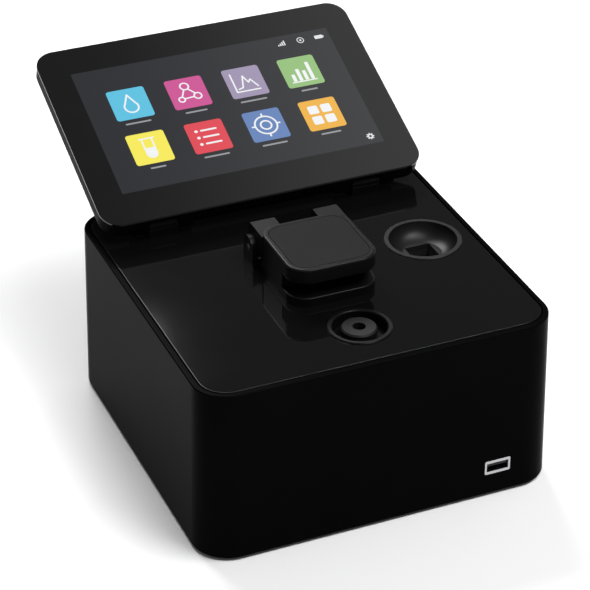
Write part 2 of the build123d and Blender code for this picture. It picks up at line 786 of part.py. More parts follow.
def make_screen():
    middle = screen_length / 2
    glass = prism(screen_width, screen_length, glass_thickness, screen_corner, 0, middle, -glass_thickness)
    save("screen_glass", on_screen(chamfer(glass.faces().sort_by(Axis.Z)[-1].edges(), glass_chamfer)))

    case_width = screen_width - 2 * case_inset
    case_length = screen_length - 2 * case_inset
    case_depth = screen_thickness - glass_thickness
    case = prism(case_width, case_length, case_depth, screen_corner - case_inset, 0, middle, -screen_thickness)
    case = fillet(case.faces().sort_by(Axis.Z)[0].edges(), case_back_round)
    pocket_z = -screen_thickness + pocket_floor
    pocket_y = pocket_start + pocket_length / 2
    case -= prism(pocket_width, pocket_length, case_depth, pocket_corner, 0, pocket_y, pocket_z)
    board_low = -glass_thickness - panel_thickness - board_thickness
    spots = four(screen_board_width / 2 - screen_post_inset, screen_board_length / 2 - screen_post_inset)
    for x, y in spots:
        case += rod_z(screen_post_radius, pocket_z, board_low, x, pocket_y + y)
    vent = extrude(SlotOverall(screen_vent_length, screen_vent_width, rotation=90), pocket_floor + 2)
    first = -(screen_vents - 1) / 2 * screen_vent_pitch
    for i in range(screen_vents):
        case -= Pos(first + i * screen_vent_pitch, pocket_y, -screen_thickness - 1) * vent
    hinge_half = bracket_width / 2 + knuckle_gap
    for side in (-1, 1):
        x0 = side * screen_hinge_x
        case -= block(x0 - hinge_half, x0 + hinge_half, -1, notch_height, -screen_thickness - 1,
                      -screen_thickness + notch_depth)
        for end in (-1, 1):
            a, b = sorted((x0 + end * hinge_half, x0 + end * (hinge_half + knuckle_length)))
            case += rod_x(barrel_radius, a, b, axis_along, axis_out)
        reach = hinge_half + knuckle_length - barrel_end_wall
        case -= rod_x(screen_pin_radius, x0 - reach, x0 + reach, axis_along, axis_out)
    save("screen_case", on_screen(case))

    panel_low = -glass_thickness - panel_thickness
    panel = prism(panel_width, panel_length, panel_thickness, 1.0, 0, pocket_y, panel_low)
    save("display_panel", on_screen(panel))
    board = prism(screen_board_width, screen_board_length, board_thickness, 1.0, 0, pocket_y, board_low)
    chips = [block(-14, 14, pocket_y - 12, pocket_y + 12, board_low - 1.1, board_low),
             block(26, 42, pocket_y - 24, pocket_y - 12, board_low - 1.0, board_low)]
    save("screen_board", on_screen(board + chips))
    pins = []
    for side in (-1, 1):
        x0 = side * screen_hinge_x
        pins.append(on_screen(rod_x(screen_pin_radius, x0 - reach, x0 + reach, axis_along, axis_out)))
    save("screen_hinge_pins", *pins)


def make_screen_brackets():
    z = deck_z + screen_axis_rise
    brackets = []
    for side in (-1, 1):
        x = side * screen_hinge_x
        x0, x1 = x - bracket_width / 2, x + bracket_width / 2
        y0, y1 = screen_axis_y - bracket_depth / 2, screen_axis_y + bracket_depth / 2
        bracket = block(x0, x1, y0, y1, deck_under - bracket_flange_thickness, z)
        bracket += rod_x(barrel_radius, x0, x1, screen_axis_y, z)
        bracket += prism(bracket_flange_width, bracket_flange_depth, bracket_flange_thickness, 2.0,
                         x, screen_axis_y, deck_under - bracket_flange_thickness)
        bracket -= rod_x(screen_pin_radius + pin_running_gap, x0 - 1, x1 + 1, screen_axis_y, z)
        brackets.append(bracket)
    save("screen_hinge_brackets", *brackets)


# Sockets: front USB-A, rear power inlet, USB-B and network, and the power button

def make_usb_a():
    front = -wall_y(usb_a_z)
    back = front + usb_a_depth
    half_w, half_h = usb_a_width / 2, usb_a_height / 2
    shell_front = front + usb_a_inset
    shell = block(usb_a_x - half_w, usb_a_x + half_w, shell_front, back, usb_a_z - half_h, usb_a_z + half_h)
    lip = extrude(RectangleRounded(usb_a_lip_width, usb_a_lip_height, usb_a_lip_corner), usb_a_lip)
    shell += Pos(usb_a_x, shell_front, usb_a_z) * Rot(90, 0, 0) * lip
    in_w, in_h = half_w - sheet, half_h - sheet
    shell -= block(usb_a_x - in_w, usb_a_x + in_w, front - 1, back - sheet, usb_a_z - in_h, usb_a_z + in_h)
    save("usb_a_shell", shell)
    tongue_half = usb_a_tongue_width / 2
    tongue_low = usb_a_z + usb_a_tongue_rise
    root = back - usb_a_block
    tongue = block(usb_a_x - tongue_half, usb_a_x + tongue_half, shell_front + usb_a_lip, root,
                   tongue_low, tongue_low + usb_a_tongue_height)
    tongue += block(usb_a_x - in_w, usb_a_x + in_w, root, back - sheet, usb_a_z - in_h, usb_a_z + in_h)
    save("usb_a_tongue", tongue)
    board_high = usb_a_z - half_h
    board_low = board_high - board_thickness
    board_front = front + 1.5 * wall
    board_half = usb_board_width / 2
    board = block(usb_a_x - board_half, usb_a_x + board_half, board_front, board_front + usb_board_length,
                  board_low, board_high)
    save("usb_board", board)
    near, far = board_front + 4.5, board_front + usb_board_length - 4.5
    ends = [(usb_a_x - usb_post_reach, far), (usb_a_x + usb_post_reach, far), (usb_a_x, near)]
    save("usb_board_posts", *[rod_z(usb_post_radius, plate_top, board_low, x, y) for x, y in ends])


def make_rear_sockets():
    inside = wall_y(board_top, wall) - socket_wall_gap
    face = wall_y(board_top + usb_b_height / 2) - socket_face_inset
    half = dc_body_width / 2
    jack = block(dc_x - half, dc_x + half, inside - dc_body_length, inside,
                 board_top, board_top + dc_body_height)
    jack += rod_y(dc_nose_radius, inside, face, dc_x, dc_z)
    jack -= rod_y(dc_bore_radius, inside - dc_bore_depth, face + 1, dc_x, dc_z)
    jack += rod_y(dc_pin_radius, inside - dc_bore_depth - 0.5, face - 4 * socket_face_inset, dc_x, dc_z)
    save("dc_jack", jack)
    half = usb_b_width / 2
    usb_b = block(usb_b_x - half, usb_b_x + half, inside - usb_b_length, face,
                  board_top, board_top + usb_b_height)
    middle = board_top + usb_b_height / 2
    wide, high = usb_b_opening[0] / 2, usb_b_opening[1] / 2
    usb_b -= block(usb_b_x - wide, usb_b_x + wide, inside - usb_b_depth, face + 1, middle - high, middle + high)
    wide, high = usb_b_tongue[0] / 2, usb_b_tongue[1] / 2
    usb_b += block(usb_b_x - wide, usb_b_x + wide, inside - usb_b_depth - 0.5, face - 5 * socket_face_inset,
                   middle - high, middle + high)
    save("usb_b_socket", usb_b)
    half = lan_width / 2
    lan = block(lan_x - half, lan_x + half, inside - lan_length, face, board_top, board_top + lan_height)
    low = board_top + lan_opening_rise
    wide = lan_opening[0] / 2
    lan -= block(lan_x - wide, lan_x + wide, inside - lan_depth, face + 1, low, low + lan_opening[1])
    wide = lan_latch[0] / 2
    lan -= block(lan_x - wide, lan_x + wide, inside - lan_depth, face + 1, low - lan_latch[1], low + 0.5)
    save("lan_socket", lan)


def make_power_button():
    outer = wall_y(button_z) + button_proud
    flange_front = wall_y(button_z + button_radius + 2, wall) - socket_face_inset
    flange_back = flange_front - button_flange_thickness
    cap = rod_y(button_radius, flange_back, outer, button_x, button_z)
    cap = fillet(cap.faces().sort_by(Axis.Y)[-1].edges(), button_edge_round)
    cap += rod_y(button_flange_radius, flange_back, flange_front, button_x, button_z)
    stem_end = flange_back - button_stem_length
    cap += rod_y(button_stem_radius, stem_end, flange_back, button_x, button_z)
    save("power_button", cap)
    switch_front = stem_end - button_travel - socket_face_inset
    back = switch_front - switch_length
    half = switch_size / 2
    top = button_z + switch_height / 2
    save("power_switch", block(button_x - half, button_x + half, back, switch_front, top - switch_height, top))
    half = switch_bracket_width / 2
    bracket = block(button_x - half, button_x + half, back - bracket_sheet, back, plate_top, top)
    bracket += block(button_x - half, button_x + half, back - switch_bracket_foot, back,
                     plate_top, plate_top + bracket_sheet)
    save("switch_bracket", bracket)


# Boards and battery on the base plate

def make_electronics():
    left, right = mainboard_left_share * base_size, mainboard_right_share * base_size
    front = mainboard_front_share * base_size
    back = wall_y(board_top, wall) - mainboard_back_gap
    save("mainboard", block(left, right, front, back, board_z, board_top))
    rows = (front + standoff_inset, back - standoff_back_inset)
    spots = [(x, y) for x in (left + standoff_inset, right - standoff_inset) for y in rows]
    save("board_standoffs", *[rod_z(standoff_radius, plate_top, board_z, x, y) for x, y in spots])
    middle_x = (left + right) / 2 - 2.0
    middle_y = front + heat_sink_from_front
    half = heat_sink_size / 2
    sink = block(middle_x - half, middle_x + half, middle_y - half, middle_y + half,
                 board_top, board_top + heat_sink_height)
    chip_x = middle_x + half + chip_size
    half = chip_size / 2
    chip = block(chip_x - half, chip_x + half, middle_y - half - 4.0, middle_y + half - 4.0,
                 board_top, board_top + chip_height)
    choke_x = left + choke_width + 2.0
    choke_y = front + choke_width + choke_depth / 2
    choke = block(choke_x - choke_width / 2, choke_x + choke_width / 2, choke_y - choke_depth / 2,
                  choke_y + choke_depth / 2, board_top, board_top + choke_height)
    capacitor_y = choke_y + choke_depth + 2 * capacitor_radius + 3.0
    capacitor_x = left + choke_width
    capacitor = rod_z(capacitor_radius, board_top, board_top + capacitor_height, capacitor_x, capacitor_y)
    save("mainboard_parts", sink, chip, choke, capacitor)

    # the battery fills the space between the front wall and the bench's front pillars
    battery_back = bench_front + pillar_row_inset - pillar_radius - battery_pillar_gap
    battery_front = battery_front_gap - base_size / 2
    battery_left = battery_side_gap - base_size / 2
    battery_x = battery_left + battery_width / 2
    battery_y = (battery_front + battery_back) / 2
    battery = prism(battery_width, battery_back - battery_front, battery_height, battery_corner,
                    battery_x, battery_y, plate_top)
    save("battery_pack", battery)
    strap_z = plate_top + battery_height
    y0, y1 = battery_y - strap_width / 2, battery_y + strap_width / 2
    reach = battery_width / 2 + strap_slack + bracket_sheet
    strap = block(battery_x - reach, battery_x + reach, y0, y1, strap_z, strap_z + bracket_sheet)
    for side in (-1, 1):
        inner = battery_x + side * (reach - bracket_sheet)
        a, b = sorted((inner, battery_x + side * reach))
        strap += block(a, b, y0, y1, plate_top, strap_z + bracket_sheet)
        a, b = sorted((inner, inner + side * strap_foot))
        strap += block(a, b, y0, y1, plate_top, plate_top + bracket_sheet)
    save("battery_strap", strap)


# Optical bench with the lamp and the spectrometer, and the light guides between them

def tube_along(points, bend):
    path = FilletPolyline(*points, radius=bend)
    start = Plane(origin=path @ 0, z_dir=path % 0)
    return sweep(start * Circle(fibre_radius), path=path)


def make_optics(guide_low, beam_z, lamp_front):
    half = bench_width / 2
    bench = block(-half, half, bench_front, bench_back, bench_z, bench_top)
    bench = fillet(bench.edges().filter_by(Axis.Z), bench_corner)
    save("optics_bench", bench)
    rows = (bench_front + pillar_row_inset, bench_back - pillar_row_inset)
    spots = [(x, y) for x in (pillar_side_inset - half, half - pillar_side_inset) for y in rows]
    save("bench_pillars", *[rod_z(pillar_radius, plate_top, bench_z, x, y) for x, y in spots])

    lamp_x0, lamp_x1 = cuvette_x - lamp_width / 2, cuvette_x + lamp_width / 2
    lamp_back = bench_back - lamp_bench_gap
    lamp_length = lamp_back - lamp_front
    lamp_top = beam_z + lamp_height
    housing = block(lamp_x0, lamp_x1, lamp_front, lamp_back, bench_top, lamp_top)
    housing -= rod_y(lamp_radius, lamp_front + lamp_front_wall, lamp_back + 1, cuvette_x, beam_z)
    housing -= rod_y(beam_radius, lamp_front - 1, lamp_front + lamp_front_wall + 1, cuvette_x, beam_z)
    port_y, port_z = lamp_front + lamp_length * 5 / 12, beam_z - lamp_port_drop
    housing -= rod_x(fibre_radius + fibre_fit, lamp_x0 - 1, lamp_x0 + lamp_front_wall + 1, port_y, port_z)
    slot_pitch = lamp_length / (lamp_slots + 1)
    for i in range(lamp_slots):
        y = lamp_front + lamp_front_wall + slot_pitch * i
        housing -= block(lamp_x0 - 1, lamp_x1 + 1, y, y + lamp_slot_width,
                         lamp_top - lamp_slot_depth, lamp_top + 1)
    save("lamp_housing", housing)
    save("flash_lamp", rod_y(lamp_radius, lamp_front + lamp_seat, lamp_back + lamp_tail, cuvette_x, beam_z))

    x0, x1 = spectrometer_left_share * base_size, spectrometer_right_share * base_size
    y0, y1 = spectrometer_front, spectrometer_back_share * base_size
    skin = spectrometer_wall
    floor = bench_top + spectrometer_floor
    top = bench_top + spectrometer_height
    body = block(x0, x1, y0, y1, bench_top, top)
    body -= block(x0 + skin, x1 - skin, y0 + skin, y1 - skin, floor, top + 1)
    guide_z = bench_top + spectrometer_port_rise
    body -= rod_x(fibre_radius + fibre_fit, x1 - skin - 1, x1 + 1, window_y, guide_z)
    body -= rod_x(fibre_radius + fibre_fit, x1 - skin - 1, x1 + 1, cuvette_fibre_y, beam_z)
    save("spectrometer_body", body)
    save("spectrometer_cover", block(x0, x1, y0, y1, top, top + spectrometer_lid))
    mirror = Pos(x0 + mirror_plate_inset, window_y, floor) * Rot(0, 0, mirror_plate_turn)
    save("spectrometer_mirror", mirror * Box(*mirror_plate, align=bottom))
    grating = Pos(x1 - grating_inset, y1 - grating_inset, floor)
    save("spectrometer_grating", grating * Rot(0, 0, grating_turn) * Box(*grating_plate, align=bottom))
    sensor_back = y1 - sensor_end_gap
    save("sensor_board", block(x0 + skin, x0 + skin + board_thickness, sensor_back - sensor_length, sensor_back,
                               floor, top - 2))

    left, right = -fibre_pitch / 2, fibre_pitch / 2
    up = guide_low + fibre_overlap
    save("detection_fibre", tube_along(
        [(left, window_y, up), (left, window_y, guide_z), (x1 - fibre_end, window_y, guide_z)], fibre_bend))
    save("illumination_fibre", tube_along(
        [(right, window_y, up), (right, window_y, port_z), (right, port_y, port_z),
         (lamp_x0 + lamp_front_wall, port_y, port_z)],
        fibre_bend))
    save("cuvette_fibre", tube_along(
        [(cuvette_x, cuvette_fibre_start, beam_z), (cuvette_x, cuvette_fibre_y, beam_z),
         (x1 - fibre_end, cuvette_fibre_y, beam_z)],
        fibre_bend))


save("housing_shell", make_housing())
save("deck_plate", make_deck())
make_base()
guide_low = make_sample_station()
make_lid()
make_lid_hinge()
beam_z, lamp_front = make_cuvette_station()
make_mixer()
make_screen()
make_screen_brackets()
make_usb_a()
make_rear_sockets()
make_power_button()
make_electronics()
make_optics(guide_low, beam_z, lamp_front)
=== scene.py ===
from math import pi, radians

import bmesh
import bpy
from mathutils import Matrix, Vector


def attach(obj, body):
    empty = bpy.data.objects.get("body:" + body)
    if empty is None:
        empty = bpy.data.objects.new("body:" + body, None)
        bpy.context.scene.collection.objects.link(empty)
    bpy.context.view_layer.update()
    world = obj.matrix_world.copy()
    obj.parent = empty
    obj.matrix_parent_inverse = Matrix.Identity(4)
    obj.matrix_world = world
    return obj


# A bench spectrophotometer: glossy black housing, hinged lid over the drop window, cuvette bowl,
# tube mixer and a tilting touch screen. Sizes in millimetres until a piece is finished.

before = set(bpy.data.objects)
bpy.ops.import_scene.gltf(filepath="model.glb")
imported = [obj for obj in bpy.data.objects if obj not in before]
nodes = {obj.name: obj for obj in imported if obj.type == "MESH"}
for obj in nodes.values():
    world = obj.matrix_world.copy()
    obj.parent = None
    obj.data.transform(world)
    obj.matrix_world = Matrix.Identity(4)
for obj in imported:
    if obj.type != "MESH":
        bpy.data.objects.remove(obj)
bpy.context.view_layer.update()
scene = bpy.context.scene
print("frame loaded,", len(nodes), "nodes")


# camera at the photograph's place, angle and lens
cameraView = {"place": (-0.44143, -1.01687, 0.77282), "yaw": 23.052, "pitch": -31.928, "roll": 0.121,
              "lens": 149.0, "sensor": 36}
cameraData = bpy.data.cameras.new("camera")
cameraData.lens = cameraView["lens"]
cameraData.sensor_width = cameraView["sensor"]
camera = bpy.data.objects.new("camera", cameraData)
heading = Matrix.Rotation(radians(-cameraView["yaw"]), 4, "Z")
lookDown = Matrix.Rotation(radians(90 + cameraView["pitch"]), 4, "X")
lean = Matrix.Rotation(radians(cameraView["roll"]), 4, "Z")
camera.matrix_world = Matrix.Translation(cameraView["place"]) @ heading @ lookDown @ lean
scene.collection.objects.link(camera)
scene.camera = camera
scene.view_settings.view_transform = "Standard"
print("camera set")


def hexColour(text):
    # sRGB hex to the linear values that Blender works in
    parts = [int(text[i:i + 2], 16) / 255 for i in (0, 2, 4)]
    return tuple(p / 12.92 if p <= 0.04045 else ((p + 0.055) / 1.055) ** 2.4 for p in parts) + (1,)


def addNode(tree, kind, settings=None, links=None):
    node = tree.nodes.new(kind)
    for name, value in (settings or {}).items():
        if isinstance(name, int) or name in node.inputs:
            node.inputs[name].default_value = value
        else:
            setattr(node, name, value)
    for socket, source in (links or {}).items():
        tree.links.new(source, node.inputs[socket])
    return node


def newMaterial(name, settings):
    material = bpy.data.materials.new(name)
    material.use_nodes = True
    tree = material.node_tree
    tree.nodes.clear()
    shader = addNode(tree, "ShaderNodeBsdfPrincipled", settings)
    addNode(tree, "ShaderNodeOutputMaterial", {}, {"Surface": shader.outputs["BSDF"]})
    place = addNode(tree, "ShaderNodeTexCoord").outputs["Object"]
    return material, tree, shader, place


def perMetre(size):
    # a pattern's scale from the real size of its features in millimetres
    return 1000 / size


reliefDepth = 0.0001  # metres from the lowest to the highest point of a surface's texture
patchSize = 45  # millimetres across a patch that is rubbed a little smoother or duller


def surfaceLook(tree, shader, look, tone, height):
    # gloss and shade that follow one pattern, and relief that follows another
    polish = addNode(tree, "ShaderNodeMapRange",
                     {"From Min": 0.3, "From Max": 0.7, "To Min": look["roughness"][0], "To Max": look["roughness"][1]},
                     {"Value": tone})
    shade = addNode(tree, "ShaderNodeMix",
                    {"data_type": "RGBA", 6: hexColour(look["colours"][0]), 7: hexColour(look["colours"][1])},
                    {0: tone})
    relief = addNode(tree, "ShaderNodeBump", {"Strength": look["relief"], "Distance": reliefDepth}, {"Height": height})
    tree.links.new(polish.outputs["Result"], shader.inputs["Roughness"])
    tree.links.new(shade.outputs[2], shader.inputs["Base Color"])
    tree.links.new(relief.outputs["Normal"], shader.inputs["Normal"])


def mouldedPlastic(name, look):
    # plastic or paint: faint grain in the surface, hand-worn patches in its gloss, slight change of shade
    material, tree, shader, place = newMaterial(name, {"Specular IOR Level": look["gloss"], "IOR": 1.5,
                                                       "Sheen Weight": look.get("sheen", 0)})
    patches = addNode(tree, "ShaderNodeTexNoise", {"Scale": perMetre(patchSize), "Detail": 4, "Roughness": 0.6},
                      {"Vector": place})
    grain = addNode(tree, "ShaderNodeTexNoise", {"Scale": perMetre(look["grain"]), "Detail": 3}, {"Vector": place})
    surfaceLook(tree, shader, look, patches.outputs["Fac"], grain.outputs["Fac"])
    return material


def workedMetal(name, look):
    # rolled, drawn or turned metal: fine lines along one way, a little change of tone
    material, tree, shader, place = newMaterial(name, {"Metallic": 1.0})
    stretch = addNode(tree, "ShaderNodeMapping", {"Scale": look["stretch"]}, {"Vector": place})
    lines = addNode(tree, "ShaderNodeTexNoise", {"Scale": perMetre(look["line"]), "Detail": 4},
                    {"Vector": stretch.outputs["Vector"]})
    surfaceLook(tree, shader, look, lines.outputs["Fac"], lines.outputs["Fac"])
    return material


# glossy black ABS, injection moulded and polished: deep black with soft highlights
caseBlack = mouldedPlastic("polishedBlackAbs", {
    "colours": ("060607", "09090a"), "roughness": (0.20, 0.25), "gloss": 0.005, "grain": 1.6, "relief": 0.01})
# cast acrylic of the deck, smoother than the case: mirrors what stands on it
deckBlack = mouldedPlastic("mirrorBlackAcrylic", {
    "colours": ("090909", "0b0b0c"), "roughness": (0.04, 0.07), "gloss": 0.20, "grain": 9.0, "relief": 0.008})
# ABS with a fine spark-eroded texture on the lid, the hinge and the platform: dull, soft sheen along its edges
satinBlack = mouldedPlastic("satinBlackAbs", {
    "colours": ("0a0a0b", "0e0e0f"), "roughness": (0.30, 0.40), "gloss": 0.12, "grain": 0.35, "relief": 0.08})
# soft-touch paint on the lid's inlay: flat grey, hardly any highlight
inlayGrey = mouldedPlastic("softTouchGreyPaint", {
    "colours": ("171718", "1b1b1c"), "roughness": (0.62, 0.74), "gloss": 0.06, "grain": 0.3, "relief": 0.12,
    "sheen": 0.05})
# moulded silicone of the mixer's cup: dark grey, smooth but not shiny
cupGrey = mouldedPlastic("mouldedSiliconeGrey", {
    "colours": ("151516", "19191a"), "roughness": (0.42, 0.52), "gloss": 0.16, "grain": 0.5, "relief": 0.06})
# smooth moulded polycarbonate of the cuvette bowl: soft glow along its curved wall
bowlBlack = mouldedPlastic("smoothBlackPolycarbonate", {
    "colours": ("0c0c0d", "101011"), "roughness": (0.38, 0.46), "gloss": 0.22, "grain": 2.0, "relief": 0.02})
# moulded nitrile rubber of feet and dampers: matt, faintly rough
footRubber = mouldedPlastic("nitrileRubberBlack", {
    "colours": ("17171a", "1e1e20"), "roughness": (0.75, 0.9), "gloss": 0.3, "grain": 0.4, "relief": 0.3})
# glass-filled nylon of sockets and guides: dull and slightly mottled
socketNylon = mouldedPlastic("filledNylonBlack", {
    "colours": ("121213", "1c1c1e"), "roughness": (0.5, 0.65), "gloss": 0.4, "grain": 0.25, "relief": 0.2})
# shrunk PVC film round the battery: blue, glossy, slightly wavy
shrinkFilm = mouldedPlastic("batteryShrinkFilm", {
    "colours": ("23406e", "2a4a7c"), "roughness": (0.25, 0.4), "gloss": 0.5, "grain": 3.0, "relief": 0.3})
# extruded jacket of the light fibres: even pale grey
fibreJacket = mouldedPlastic("fibreJacketGrey", {
    "colours": ("8b8b8d", "9a9a9c"), "roughness": (0.45, 0.55), "gloss": 0.4, "grain": 0.5, "relief": 0.2})
# powder coat on the base plate: dull black with fine orange peel
paintedSheet = mouldedPlastic("powderCoatBlack", {
    "colours": ("141415", "1a1a1b"), "roughness": (0.5, 0.62), "gloss": 0.4, "grain": 0.7, "relief": 0.35})
# printed ink let into the rear button: pale grey, matt
signPaint = mouldedPlastic("paleGreyInkInlay", {
    "colours": ("b4b4b6", "c2c2c4"), "roughness": (0.5, 0.6), "gloss": 0.3, "grain": 0.3, "relief": 0.1})
# polished stainless steel of shells, pins and screws: bright, with faint upright lines
brightSteel = workedMetal("polishedStainlessSteel", {
    "colours": ("bdbdc0", "d2d2d4"), "roughness": (0.12, 0.22), "line": 0.4, "stretch": (1, 1, 6), "relief": 0.05})
# zinc-plated steel sheet and posts: greyer, with soft rolling lines
platedSheet = workedMetal("zincPlatedSheet", {
    "colours": ("8f9092", "a5a6a8"), "roughness": (0.35, 0.5), "line": 0.6, "stretch": (1, 8, 1), "relief": 0.1})
# milled and anodised aluminium of the optics: even mid grey, silky
anodisedGrey = workedMetal("anodisedAluminium", {
    "colours": ("6f7072", "7c7d7f"), "roughness": (0.38, 0.5), "line": 0.5, "stretch": (8, 1, 1), "relief": 0.1})
# drawn aluminium of the lamp and the motor: light grey with drawing lines
lampCan = workedMetal("drawnAluminiumCan", {
    "colours": ("a5a5a7", "bcbcbe"), "roughness": (0.25, 0.35), "line": 0.5, "stretch": (1, 6, 1), "relief": 0.08})
# gold plating on the socket's contacts: smooth and warm
contactGold = workedMetal("goldPlatedContact", {
    "colours": ("c79a4a", "e0b765"), "roughness": (0.18, 0.28), "line": 0.2, "stretch": (1, 4, 1), "relief": 0.03})


def coverGlass():
    # toughened cover glass printed black behind: deep black under a sharp gloss, faint finger marks
    material, tree, shader, place = newMaterial("blackPrintedCoverGlass", {"Specular IOR Level": 0.5, "IOR": 1.52})
    marks = addNode(tree, "ShaderNodeTexNoise", {"Scale": perMetre(30), "Detail": 5, "Distortion": 0.6},
                    {"Vector": place})
    smear = addNode(tree, "ShaderNodeMapRange",
                    {"From Min": 0.45, "From Max": 0.75, "To Min": 0.03, "To Max": 0.10},
                    {"Value": marks.outputs["Fac"]})
    shade = addNode(tree, "ShaderNodeMix", {"data_type": "RGBA", 6: hexColour("060607"), 7: hexColour("08080a")},
                    {0: marks.outputs["Fac"]})
    tree.links.new(smear.outputs["Result"], shader.inputs["Roughness"])
    tree.links.new(shade.outputs[2], shader.inputs["Base Color"])
    return material


def polishedOptic(name, settings, speck, roughest):
    # an optical surface: very smooth, with specks of dust or haze that dull it in places
    material, tree, shader, place = newMaterial(name, settings)
    specks = addNode(tree, "ShaderNodeTexNoise", {"Scale": perMetre(speck["size"]), "Detail": speck["detail"]},
                     {"Vector": place})
    polish = addNode(tree, "ShaderNodeMapRange", {"To Min": 0.01, "To Max": roughest},
                     {"Value": specks.outputs["Fac"]})
    tree.links.new(polish.outputs["Result"], shader.inputs["Roughness"])
    return material


def circuitBoard():
    # green solder mask over copper tracks, drawn as raised rectangular runs 1.2 mm apart
    material, tree, shader, place = newMaterial("solderMaskGreen", {"Specular IOR Level": 0.5})
    tracks = addNode(tree, "ShaderNodeTexBrick",
                     {"Scale": perMetre(1), "Brick Width": 4.8, "Row Height": 1.2, "Mortar Size": 0.16,
                      "offset": 0.4, "Color1": hexColour("0f4a2a"), "Color2": hexColour("125232"),
                      "Mortar": hexColour("1f7044")}, {"Vector": place})
    relief = addNode(tree, "ShaderNodeBump", {"Strength": 0.4, "Distance": reliefDepth},
                     {"Height": tracks.outputs["Fac"]})
    grain = addNode(tree, "ShaderNodeTexNoise", {"Scale": perMetre(2), "Detail": 2}, {"Vector": place})
    polish = addNode(tree, "ShaderNodeMapRange", {"To Min": 0.25, "To Max": 0.42}, {"Value": grain.outputs["Fac"]})
    tree.links.new(tracks.outputs["Color"], shader.inputs["Base Color"])
    tree.links.new(polish.outputs["Result"], shader.inputs["Roughness"])
    tree.links.new(relief.outputs["Normal"], shader.inputs["Normal"])
    return material


glassBlack = coverGlass()
# polished fused silica: clear, with the dark light guide seen through it
quartz = polishedOptic("polishedQuartz", {"Base Color": hexColour("f4f6f8"), "IOR": 1.458,
                                          "Transmission Weight": 0.9}, {"size": 0.6, "detail": 2}, 0.06)
# aluminium coated on the front of glass: a clean mirror
mirrorCoat = polishedOptic("frontSurfaceMirror", {"Metallic": 1.0, "Base Color": hexColour("e4e6e8")},
                           {"size": 3, "detail": 3}, 0.05)
board = circuitBoard()

dressing = {
    "housing_shell": caseBlack, "deck_plate": deckBlack, "sample_platform": satinBlack, "screen_case": caseBlack,
    "lid_shell": satinBlack, "lid_hinge_base": satinBlack, "lid_pad": inlayGrey,
    "screen_hinge_brackets": satinBlack, "mixer_bezel": satinBlack, "mixer_cup": cupGrey,
    "mixer_frame": socketNylon, "mixer_dampers": footRubber, "mixer_carriage": anodisedGrey,
    "mixer_motor": lampCan, "mixer_rotor": brightSteel, "cup_bearing": brightSteel, "post_nuts": brightSteel,
    "cuvette_cup": bowlBlack, "cuvette_block": anodisedGrey, "power_button": satinBlack,
    "switch_bracket": platedSheet, "power_switch": socketNylon, "rubber_feet": footRubber,
    "base_screws": brightSteel, "base_plate": paintedSheet, "usb_a_shell": brightSteel,
    "usb_a_tongue": socketNylon, "usb_board": board, "usb_board_posts": platedSheet, "dc_jack": socketNylon,
    "usb_b_socket": brightSteel, "lan_socket": brightSteel, "mainboard": board, "mainboard_parts": socketNylon,
    "board_standoffs": platedSheet, "battery_pack": shrinkFilm, "battery_strap": platedSheet,
    "optics_bench": anodisedGrey, "bench_pillars": platedSheet, "spectrometer_body": anodisedGrey,
    "spectrometer_cover": anodisedGrey, "spectrometer_grating": mirrorCoat, "spectrometer_mirror": mirrorCoat,
    "sensor_board": board, "lamp_housing": anodisedGrey, "flash_lamp": lampCan, "lens_tube": anodisedGrey,
    "illumination_fibre": fibreJacket, "detection_fibre": fibreJacket, "cuvette_fibre": fibreJacket,
    "light_guide_holder": socketNylon, "window_ring": brightSteel, "sample_window": quartz,
    "lid_hinge_pin": brightSteel, "lid_mirror_holder": socketNylon, "lid_mirror": mirrorCoat,
    "screen_glass": glassBlack, "display_panel": socketNylon, "screen_board": board,
    "screen_hinge_pins": brightSteel,
}
for name, material in dressing.items():
    for slot in nodes[name].material_slots:
        slot.material = material
print("finishes on", len(dressing), "of", len(nodes), "nodes")


def freshVerts(bm, before):
    return [v for v in bm.verts if v not in before]


def facesOf(verts):
    return list({f for v in verts for f in v.link_faces})


def thicken(bm, faces, height):
    grown = bmesh.ops.extrude_face_region(bm, geom=faces)
    top = [e for e in grown["geom"] if isinstance(e, bmesh.types.BMVert)]
    bmesh.ops.translate(bm, verts=top, vec=(0, 0, height))


def addPlate(bm, width, length, corner, height, where, steps=5):
    # a flat plate with rounded corners, centred, standing on its place
    before = set(bm.verts)
    made = bmesh.ops.create_grid(bm, x_segments=1, y_segments=1, size=0.5)
    bmesh.ops.scale(bm, vec=(width, length, 1), verts=made["verts"])
    bmesh.ops.bevel(bm, geom=made["verts"], offset=corner, offset_type="OFFSET", segments=steps, profile=0.5,
                    affect="VERTICES", material=-1)
    thicken(bm, facesOf(freshVerts(bm, before)), height)
    bmesh.ops.transform(bm, matrix=where, verts=freshVerts(bm, before))


def addDisc(bm, radius, height, where, segments):
    before = set(bm.verts)
    made = bmesh.ops.create_circle(bm, cap_ends=True, segments=segments, radius=radius)
    thicken(bm, facesOf(made["verts"]), height)
    bmesh.ops.transform(bm, matrix=where, verts=freshVerts(bm, before))


